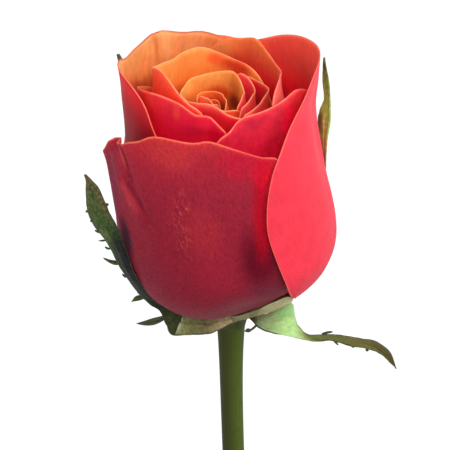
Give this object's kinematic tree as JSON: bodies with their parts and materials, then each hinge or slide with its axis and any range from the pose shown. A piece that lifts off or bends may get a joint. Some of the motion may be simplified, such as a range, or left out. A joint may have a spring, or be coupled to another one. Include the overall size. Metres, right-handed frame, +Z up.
{
  "type": "cut rose",
  "caption": "Half-open rose bloom of overlapping petals with leafy sepals and a straight prickly stem, cut at a slant and lying on its side.",
  "frame": {"origin": "the small pressed spot on the lowest outer petal, where the lying flower's bloom rests, at the surface's height", "axes": "+Y along the flower from the cut end to the bloom's mouth, +Z up from the surface, +X to the right as seen from the cut end"},
  "size_m": [0.0715, 0.2377, 0.054],
  "materials": {
    "petals": "soft petal skin with fine veins, satin outside and velvety inside",
    "sepals": "matte green leaf, paler and woolly on the inside",
    "stem_skin": "smooth waxy green bark with fine lengthwise grain"
  },
  "bodies": {
    "root": {"bloom": "petals", "calyx": "sepals", "stem": "stem_skin"}
  },
  "joints": []
}
